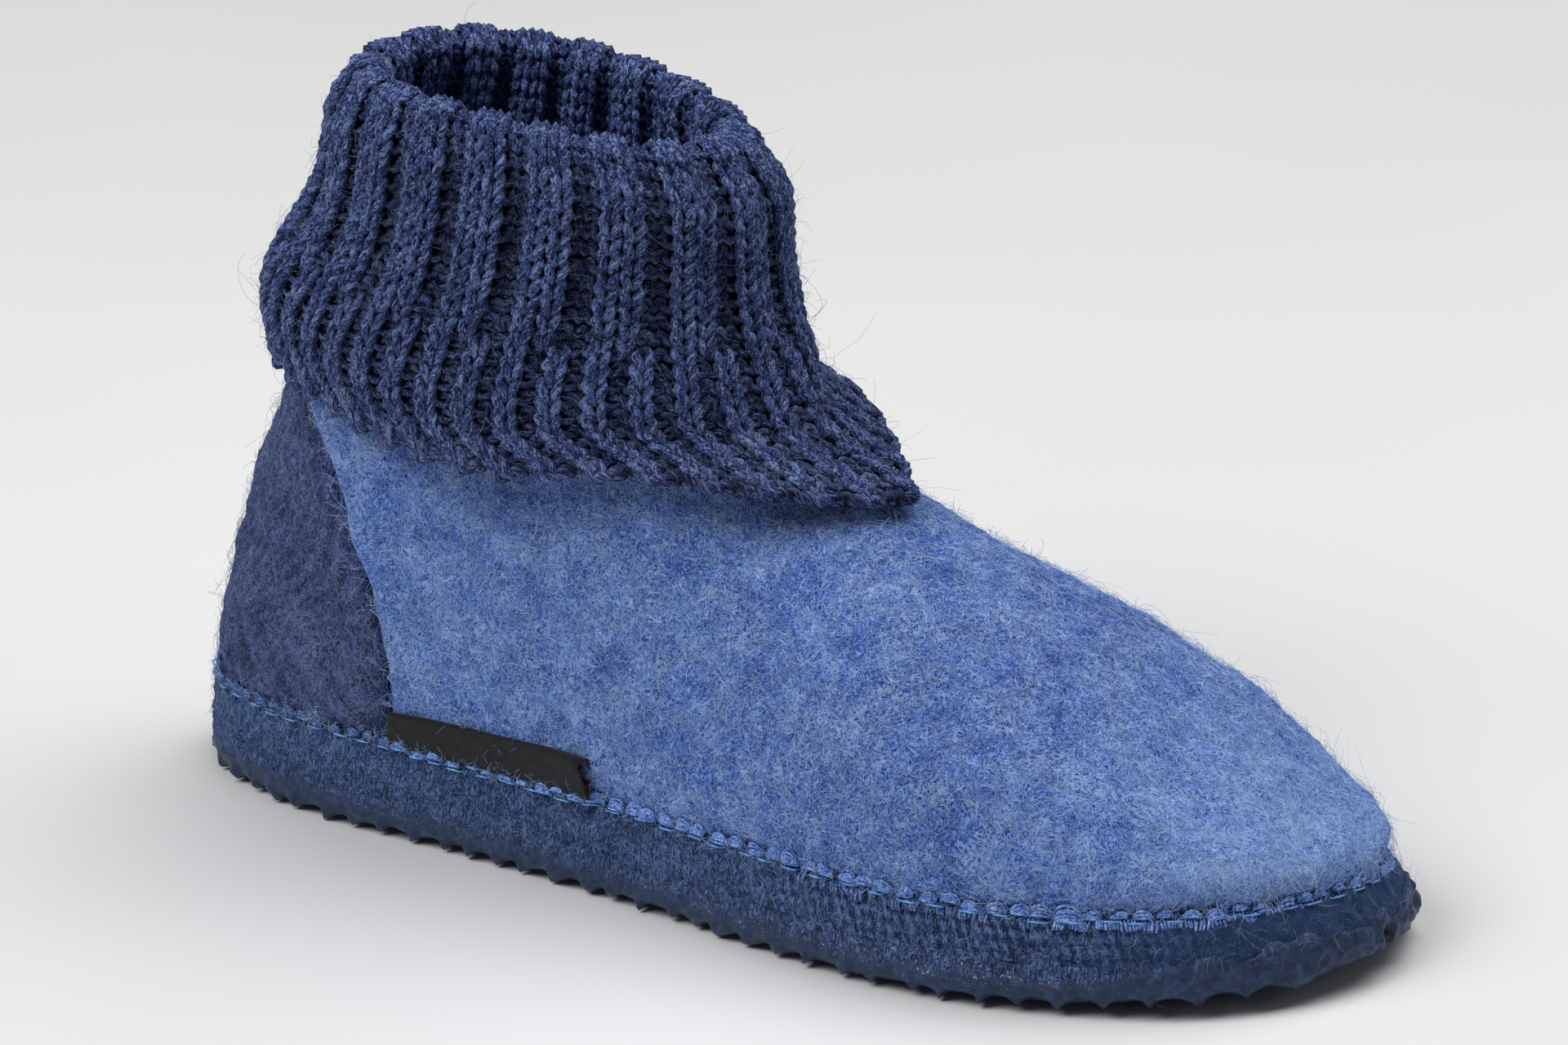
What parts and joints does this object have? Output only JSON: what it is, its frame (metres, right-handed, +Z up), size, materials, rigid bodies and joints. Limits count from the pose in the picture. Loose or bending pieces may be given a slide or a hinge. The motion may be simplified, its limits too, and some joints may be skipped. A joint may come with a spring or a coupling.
{
  "type": "felt slipper",
  "caption": "Ankle-high felt slipper with a hollow boiled-wool upper, a felt heel panel, a folded rib-knit cuff and a ridged latex-coated felt sole.",
  "frame": {"origin": "middle of the sole's box, on the floor", "axes": "+X from heel to toe, +Y to the inner side of the foot, +Z up"},
  "size_m": [0.2628, 0.0935, 0.1516],
  "materials": {
    "latex": "dark petrol blue latex, satin",
    "sole_felt": "dark petrol blue felt",
    "insole_felt": "blue felt",
    "light_felt": "light blue mottled boiled wool, fuzzy",
    "dark_felt": "dark blue mottled boiled wool, fuzzy",
    "knit": "navy heather wool rib knit",
    "ribbon": "plain black woven ribbon"
  },
  "bodies": {
    "root": {"outsole": "latex", "felt_sole": "sole_felt", "insole": "insole_felt", "upper": "light_felt", "heel_panel": "dark_felt", "cuff": "knit", "label_loop": "ribbon"}
  },
  "joints": []
}
